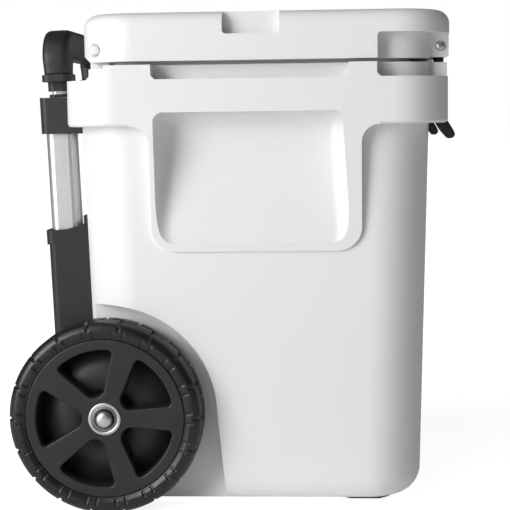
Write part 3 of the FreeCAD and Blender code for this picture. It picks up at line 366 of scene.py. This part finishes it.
def makeRim(side, sign):
    # inward = face, sunk to the web where the window distance is negative, with a small fall at each
    # window's edge; the back is a plain dish
    low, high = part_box("wheel_rim_right")
    outer = (high[0] - low[0]) / 2
    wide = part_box("tyre_right")[1][1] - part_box("tyre_right")[0][1]
    steps = rimSizes["radiusSteps"]
    radiusRow = np.linspace(rimSizes["bore"], outer - rimSizes["edgeRound"], steps)
    angle = np.linspace(0, 2 * math.pi, rimSizes["angleSteps"], endpoint=False)
    radius, turn = np.meshgrid(radiusRow, angle, indexing="ij")
    distance = windowDistance(radius, turn)
    sink = 1 - smoothStep(rimSizes["wallFrom"], rimSizes["wallTo"], distance)
    lip = rimSizes["lip"] * (1 - smoothStep(0.0, rimSizes["edgeRound"], distance))
    lip = lip * (distance > rimSizes["wallFrom"])
    front = rimSizes["face"] + (rimSizes["web"] - rimSizes["face"]) * sink + lip * (1 - sink)
    edgeTurn = np.linspace(0, math.pi / 2, rimSizes["edgeSteps"])[1:]
    edgeRadius = outer - rimSizes["edgeRound"] * (1 - np.sin(edgeTurn))
    edgeInward = rimSizes["face"] + rimSizes["edgeRound"] * (1 - np.cos(edgeTurn))
    backOuter = outer - np.array(rimSizes["backIn"])
    tailRadius = np.concatenate([edgeRadius, backOuter, rimSizes["backRadius"], [rimSizes["bore"]]])
    tailInward = np.concatenate([edgeInward, wide - np.array(rimSizes["backDepth"])])
    radius = np.concatenate([radius, np.repeat(tailRadius[:, None], angle.size, axis=1)])
    turn = np.broadcast_to(angle[None, :], radius.shape)
    inward = np.concatenate([front, np.repeat(tailInward[:, None], angle.size, axis=1)])
    points = onAxle(radius, turn, inward, sign)
    faces = gridFaces(*radius.shape, closedRows=True, closedColumns=True)
    makePiece(f"wheel_{side}_rim", points, faces, "black_plastic", f"wheel_{side}",
              [f"wheel_rim_{side}"], flip=sign > 0)


axleEndSizes = {
    "washer": [(13.5, 0.0), (13.5, 1.6), (13.8, 2.0), (16.6, 2.0), (17.2, 1.7), (17.6, 1.0), (17.6, 0.1),
               (13.5, 0.0)],
    "collar": [(6.2, 0.0), (6.4, 0.3), (10.2, 0.3), (10.6, 1.0), (11.0, 1.4), (13.1, 1.4), (13.4, 1.1),
               (13.4, 0.0), (6.2, 0.0)],
    "cap": [(0.01, 9.4), (3.0, 9.3), (5.6, 8.9), (7.2, 8.1), (8.2, 6.9), (8.7, 5.4), (8.8, 2.1), (8.4, 0.4),
            (0.01, 0.4)],
    "washerThick": 0.002, "angleSteps": 96,
}


def makeAxleEnd(part, node, finish, side, sign):
    # a profile of (radius, outward) in millimetres turned about the axle, measured from the wheel's hub
    hub = -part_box("axle_washers")[0][1] - axleEndSizes["washerThick"]
    outerY = -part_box("tyre_right")[0][1]
    profile = np.array(axleEndSizes[part]) / 1000
    angle = np.linspace(0, 2 * math.pi, axleEndSizes["angleSteps"], endpoint=False)
    radius, turn = np.meshgrid(profile[:, 0], angle, indexing="ij")
    inward = np.repeat((outerY - hub - profile[:, 1])[:, None], angle.size, axis=1)
    faces = gridFaces(*radius.shape, closedRows=part != "cap", closedColumns=True)
    makePiece(f"{part}_{side}", onAxle(radius, turn, inward, sign), faces, finish, "tub", [node],
              flip=sign > 0)


for side, sign in (("right", -1), ("left", 1)):
    makeTyre(side, sign)
    makeRim(side, sign)
    makeAxleEnd("washer", "axle_washers", "zinc_steel", side, sign)
    # the collar gets the darker steel: painted shade inside the washer
    makeAxleEnd("collar", "axle_washers", "dull_steel", side, sign)
    makeAxleEnd("cap", "axle_caps", "zinc_steel", side, sign)
print("wheels made")


pinHeadSizes = {"share": 0.94, "rise": 0.0018, "sunk": 0.0002, "angleSteps": 40, "domeSteps": 10}


def makePinHead(node, sign, finish):
    # a dome on the pin's flat head: radius r cos(t), height rise sin(t) outwards from the head's face
    low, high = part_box(node)
    centreX, centreZ = (low[0] + high[0]) / 2, (low[2] + high[2]) / 2
    half = (high[0] - low[0]) / 2 * pinHeadSizes["share"]
    face = max(abs(low[1]), abs(high[1])) - pinHeadSizes["sunk"]
    rise = np.linspace(0, math.pi / 2 * 0.999, pinHeadSizes["domeSteps"])
    angle = np.linspace(0, 2 * math.pi, pinHeadSizes["angleSteps"], endpoint=False)
    rise, turn = np.meshgrid(rise, angle, indexing="ij")
    radius = half * np.cos(rise)
    y = sign * (face + pinHeadSizes["rise"] * np.sin(rise))
    points = np.stack([centreX + radius * np.cos(turn), y, centreZ + radius * np.sin(turn)], axis=-1)
    makePiece(f"{node}_head", points.reshape(-1, 3), gridFaces(*radius.shape, closedColumns=True), finish,
              "lid", flip=sign < 0)


for side, sign in (("right", -1), ("left", 1)):
    makePinHead(f"latch_pin_{side}", sign, "steel")
    makePinHead(f"hinge_pin_{side}", sign, "white_plastic")
print("pin heads made")


gripSizes = {"bend": 0.019, "legTaper": 0.0012, "taperTall": 0.022, "power": 4.6, "barTall": 0.0325,
             "skin": 0.0002, "legDrop": 0.0006, "ringSteps": 48, "bendSteps": 12, "legSteps": 8,
             "barSteps": 22}


def sweepRings(path, firstAxis, secondAxis, firstHalf, secondHalf, power, steps):
    # ring = path + a |cos t|^(2/p) sign(cos t) first + b |sin t|^(2/p) sign(sin t) second
    turn = np.linspace(0, 2 * math.pi, steps, endpoint=False)
    across = np.sign(np.cos(turn)) * np.abs(np.cos(turn)) ** (2 / power)
    along = np.sign(np.sin(turn)) * np.abs(np.sin(turn)) ** (2 / power)
    return (path[:, None, :] + firstHalf[:, None, None] * across[None, :, None] * firstAxis[:, None, :]
            + secondHalf[:, None, None] * along[None, :, None] * secondAxis[:, None, :])


def repeatEnds(row):
    return np.concatenate([row[:1], row[:1], row, row[-1:], row[-1:]])


def closeEnds(path, firstHalf, secondHalf, *axes):
    # two more rings at each end, shrinking to a point, so that the tube ends in a flat face
    shrink = np.concatenate([[0.001, 0.9], np.ones(len(path)), [0.9, 0.001]])
    return [repeatEnds(path), repeatEnds(firstHalf) * shrink, repeatEnds(secondHalf) * shrink,
            *[repeatEnds(axis) for axis in axes]]


def makeGrip():
    # the centre line goes up one leg, round a bend, across and down again, in the legs' leaning plane
    low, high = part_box("grip")
    legY = (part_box("inner_tube_left")[0][1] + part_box("inner_tube_left")[1][1]) / 2
    halfY = high[1] - legY
    slideAxis = np.array(joints["handle_grip_slide"]["axis"])
    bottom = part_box("grip_rings")[1][2]
    barLow = high[2] - gripSizes["barTall"]
    halfTall = (high[2] - barLow) / 2 - gripSizes["skin"]
    halfX = (high[0] - low[0]) / 2 - gripSizes["skin"]
    bend = gripSizes["bend"]
    middle = np.array([(low[0] + high[0]) / 2, 0, (low[2] + high[2]) / 2])
    top = barLow + halfTall
    turn = np.linspace(0, math.pi / 2, gripSizes["bendSteps"])
    legZ = np.linspace(bottom - gripSizes["legDrop"], top - bend, gripSizes["legSteps"])[:-1]
    legPart = np.stack([np.full(legZ.size, -legY), legZ], axis=1)
    bendPart = np.stack([-legY + bend - bend * np.cos(turn), top - bend + bend * np.sin(turn)], axis=1)
    half = np.concatenate([legPart, bendPart])
    barY = np.linspace(-legY + bend, legY - bend, gripSizes["barSteps"])[1:-1]
    barPart = np.stack([barY, np.full(barY.size, top)], axis=1)
    line = np.concatenate([half, barPart, half[::-1] * (-1, 1)])
    rise = (line[:, 1] - middle[2]) / slideAxis[2]
    path = middle + rise[:, None] * slideAxis
    path[:, 1] = line[:, 0]
    tangent = np.gradient(path, axis=0)
    tangent /= np.linalg.norm(tangent, axis=1)[:, None]
    sideAxis = np.cross(slideAxis, (0, -1, 0))
    sideAxis = np.broadcast_to(sideAxis / np.linalg.norm(sideAxis), path.shape)
    normal = np.cross(tangent, sideAxis)
    level = np.abs(tangent[:, 1])
    up = smoothStep(bottom, bottom + gripSizes["taperTall"], line[:, 1])
    firstHalf = halfX - gripSizes["legTaper"] * (1 - up)
    secondHalf = halfY + (halfTall - halfY) * level - gripSizes["legTaper"] * (1 - up)
    path, firstHalf, secondHalf, sideAxis, normal = closeEnds(path, firstHalf, secondHalf, sideAxis, normal)
    rings = sweepRings(path, sideAxis, normal, firstHalf, secondHalf, gripSizes["power"],
                       gripSizes["ringSteps"])
    faces = gridFaces(*rings.shape[:2], closedColumns=True)
    makePiece("pull_grip", rings.reshape(-1, 3), faces, "black_plastic", "handle_grip", ["grip"])


latchSizes = {"power": 5.0, "ringSteps": 40, "wide": 0.034, "eyeWide": 0.0436,
              "thick": [13.8, 13.8, 9.8, 9.8, 10.4, 12.4, 12.0, 10.4, 8.6],
              "eyeShare": [1, 1, 0, 0, 0, 0, 0, -0.1, -0.35], "strapBack": 0.0187, "bandUnder": 0.0195,
              "pinUp": [0.0066, -0.004, -0.012], "bandUp": [0.022, 0.008, 0.0015, -0.0065, -0.0128],
              "strapOut": [0, 0, 0.0002, 0.0022, 0.0075, 0.0122], "tipBack": 0.0042, "tipUp": 0.0022,
              "stationSteps": 57}


def makeLatch(side, sign):
    # a strap hangs from its pin, turns out below the band and ends in a rounded lever; the nine
    # stations of x, z, thick and wide go from the pin down to the tip
    low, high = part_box(f"latch_{side}")
    pin = joints[f"latch_{side}_pivot"]["pos_m"]
    strapX = high[0] - latchSizes["strapBack"]
    bandLow = low[2] + latchSizes["bandUnder"]
    x = np.array([pin[0], pin[0], *[strapX + out for out in latchSizes["strapOut"]],
                  high[0] - latchSizes["tipBack"]])
    z = np.array([*[pin[2] + up for up in latchSizes["pinUp"]],
                  *[bandLow + up for up in latchSizes["bandUp"]], low[2] + latchSizes["tipUp"]])
    thick = np.array(latchSizes["thick"]) / 1000
    eyeMore = latchSizes["eyeWide"] - latchSizes["wide"]
    wide = np.array(latchSizes["eyeShare"]) * eyeMore + latchSizes["wide"]
    stations = np.linspace(0, x.size - 1, latchSizes["stationSteps"])
    spot = np.arange(x.size)
    x, z, thick, wide = (np.interp(stations, spot, row) for row in (x, z, thick, wide))
    x, z = (np.convolve(np.pad(row, 3, mode="edge"), np.ones(7) / 7, "valid") for row in (x, z))
    path = np.stack([x, np.full(x.size, sign * abs(pin[1])), z], axis=1)
    tangent = np.gradient(path, axis=0)
    tangent /= np.linalg.norm(tangent, axis=1)[:, None]
    sideAxis = np.broadcast_to(np.array([0.0, 1.0, 0.0]), path.shape)
    normal = np.cross(tangent, sideAxis)
    endRound = np.sqrt(1 - np.clip((stations - stations[-6]) / (stations[-1] - stations[-6]), 0, 0.97) ** 2)
    path, firstHalf, secondHalf, sideAxis, normal = closeEnds(
        path, wide / 2, thick / 2 * endRound, sideAxis, normal)
    rings = sweepRings(path, sideAxis, normal, firstHalf, secondHalf, latchSizes["power"],
                       latchSizes["ringSteps"])
    faces = gridFaces(*rings.shape[:2], closedColumns=True)
    makePiece(f"latch_{side}_strap", rings.reshape(-1, 3), faces, "black_rubber", f"latch_{side}",
              [f"latch_{side}"])


makeGrip()
for side, sign in (("right", -1), ("left", 1)):
    makeLatch(side, sign)
print("grip and latches made")


stageSizes = {
    "distance": 1.75, "azimuth": 3.41, "elevation": 5.53, "roll": 0.763, "targetZ": 0.25576,
    "bodyShift": 0.014, "focal": 1449.476, "frameWide": 510, "sensor": 36.0,
    "sunStrength": 0.80, "sunAngle": 50.0, "sunFrom": (-0.5, -0.5, 0.75),
    "keyPower": 52.0, "keySize": 1.4, "keyPlace": (-1.75, -1.95, 0.95), "keyAim": (0.0, 0.0, 0.28),
    "fillStrength": 0.10, "floorSize": 40.0, "floorGlow": 0.12, "floorWhite": 0.85,
}


def makeStage():
    mesh = bpy.data.meshes.new("paleFloor")
    half = stageSizes["floorSize"] / 2
    mesh.from_pydata([(-half, -half, 0), (half, -half, 0), (half, half, 0), (-half, half, 0)], [],
                     [(0, 1, 2, 3)])
    material, tree, shader = startMaterial("palePaper", Roughness=0.9)
    tone = mixColour(tree, noiseAt(tree, objectPoint(tree), 3.0), (0.90, 0.90, 0.90, 1),
                     (0.93, 0.93, 0.93, 1))
    tree.links.new(tone, shader.inputs["Base Color"])
    shader.inputs["Emission Color"].default_value = (1, 1, 1, 1)
    # the floor is seen almost white, but throws little light back up
    path = tree.nodes.new("ShaderNodeLightPath")
    glow = tree.nodes.new("ShaderNodeMix")
    glow.inputs["A"].default_value = stageSizes["floorGlow"]
    glow.inputs["B"].default_value = stageSizes["floorWhite"]
    tree.links.new(path.outputs["Is Camera Ray"], glow.inputs["Factor"])
    tree.links.new(glow.outputs["Result"], shader.inputs["Emission Strength"])
    mesh.materials.append(material)
    floor = bpy.data.objects.new("paleFloor", mesh)
    bpy.context.scene.collection.objects.link(floor)


def addLight(name, kind, power, turn, place=(0, 0, 0)):
    data = bpy.data.lights.new(name, kind)
    data.energy = power
    lamp = bpy.data.objects.new(name, data)
    lamp.location = place
    lamp.rotation_euler = Vector(turn).to_track_quat("Z", "Y").to_euler()
    bpy.context.scene.collection.objects.link(lamp)
    return data


def makeLight():
    # a near key at the upper left, a weak broad sun, and a dim surround that shows white behind
    sun = addLight("broadSun", "SUN", stageSizes["sunStrength"], stageSizes["sunFrom"])
    sun.angle = math.radians(stageSizes["sunAngle"])
    place = Vector(stageSizes["keyPlace"])
    key = addLight("keyPanel", "AREA", stageSizes["keyPower"], place - Vector(stageSizes["keyAim"]), place)
    key.size = stageSizes["keySize"]
    world = bpy.data.worlds.new("studio")
    bpy.context.scene.world = world
    world.use_nodes = True
    tree = world.node_tree
    ground = tree.nodes["Background"]
    ground.inputs["Color"].default_value = (1, 1, 1, 1)
    path = tree.nodes.new("ShaderNodeLightPath")
    strength = tree.nodes.new("ShaderNodeMix")
    strength.inputs["A"].default_value = stageSizes["fillStrength"]
    strength.inputs["B"].default_value = 1.0
    tree.links.new(path.outputs["Is Camera Ray"], strength.inputs["Factor"])
    tree.links.new(strength.outputs["Result"], ground.inputs["Strength"])


def makeCamera():
    # it looks along +Y at the cooler's right side, a little from the front and above
    azimuth, elevation, roll = (math.radians(stageSizes[key]) for key in ("azimuth", "elevation", "roll"))
    low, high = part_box("body_shell")
    shift = (low[0] + high[0]) / 2 - stageSizes["bodyShift"]
    target = Vector((shift, 0, stageSizes["targetZ"]))
    back = Vector((math.sin(azimuth) * math.cos(elevation), -math.cos(azimuth) * math.cos(elevation),
                   math.sin(elevation)))
    right = (-back).cross(Vector((0, 0, 1))).normalized()
    up = right.cross(-back)
    across = right * math.cos(roll) - up * math.sin(roll)
    upright = right * math.sin(roll) + up * math.cos(roll)
    place = Matrix((across, upright, back)).transposed().to_4x4()
    place.translation = target + back * stageSizes["distance"]
    data = bpy.data.cameras.new("camera")
    data.sensor_width = stageSizes["sensor"]
    data.lens = stageSizes["sensor"] * stageSizes["focal"] / stageSizes["frameWide"]
    camera = bpy.data.objects.new("camera", data)
    camera.matrix_world = place
    bpy.context.scene.collection.objects.link(camera)
    bpy.context.scene.camera = camera


bpy.context.scene.view_settings.view_transform = "Standard"
makeStage()
makeLight()
makeCamera()
print("stage set")
